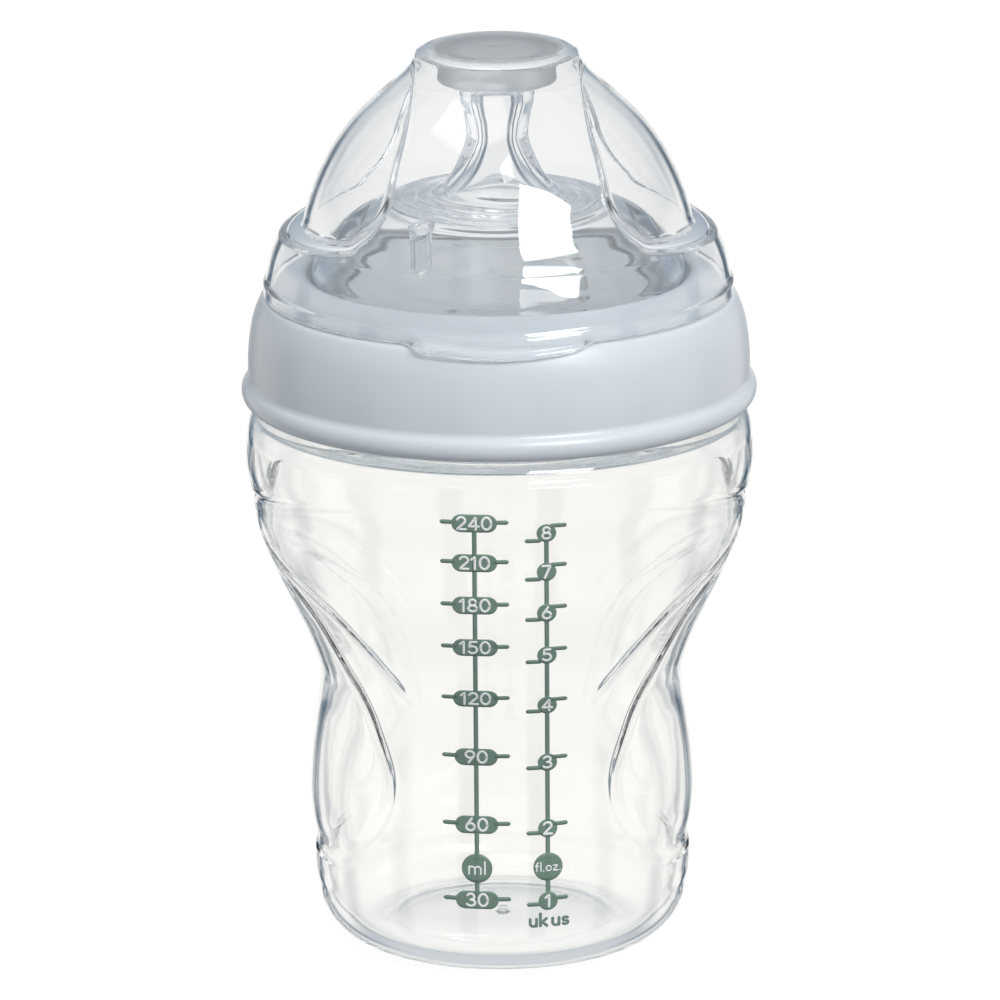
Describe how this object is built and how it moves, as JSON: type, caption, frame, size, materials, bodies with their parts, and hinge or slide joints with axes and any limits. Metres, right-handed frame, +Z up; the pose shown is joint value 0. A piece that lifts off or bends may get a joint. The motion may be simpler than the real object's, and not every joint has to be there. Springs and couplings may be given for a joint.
{
  "type": "baby bottle",
  "caption": "Waisted clear feeding bottle with side grips, a screw collar holding a wide-based silicone teat, and a clear press-fit domed hygiene cap with a thumb tab.",
  "frame": {"origin": "centre of the foot that the bottle stands on", "axes": "+Z up along the bottle's axis; the volume scale faces -Y; the two side grips face -X and +X"},
  "size_m": [0.0832, 0.0832, 0.148],
  "materials": {
    "clear_body": "clear moulded plastic, gloss",
    "collar_plastic": "opaque pale blue-grey moulded plastic, soft gloss",
    "silicone": "clear silicone rubber, soft gloss",
    "clear_cap": "clear thin-walled moulded plastic, gloss",
    "scale_ink": "printed sage green ink"
  },
  "bodies": {
    "bottle": {"bottle": "clear_body"},
    "teat": {"teat": "silicone"},
    "collar": {"collar": "collar_plastic"},
    "cap": {"cap": "clear_cap"}
  },
  "joints": [
    {"name": "teat_lift", "type": "slide", "parent": "bottle", "child": "teat", "axis": [0, 0, 1], "range_m": [0, 0.0201]},
    {"name": "collar_turn", "type": "hinge", "parent": "teat", "child": "collar", "pos_m": [0, 0, 0.1], "axis": [0, 0, 1], "range_deg": [0, 900]},
    {"name": "cap_lift", "type": "slide", "parent": "collar", "child": "cap", "axis": [0, 0, 1], "range_m": [0, 0.06]}
  ],
  "couplings": [
    {"joint": "teat_lift", "follows": "collar_turn", "m_per_rad": 0.0012732}
  ]
}
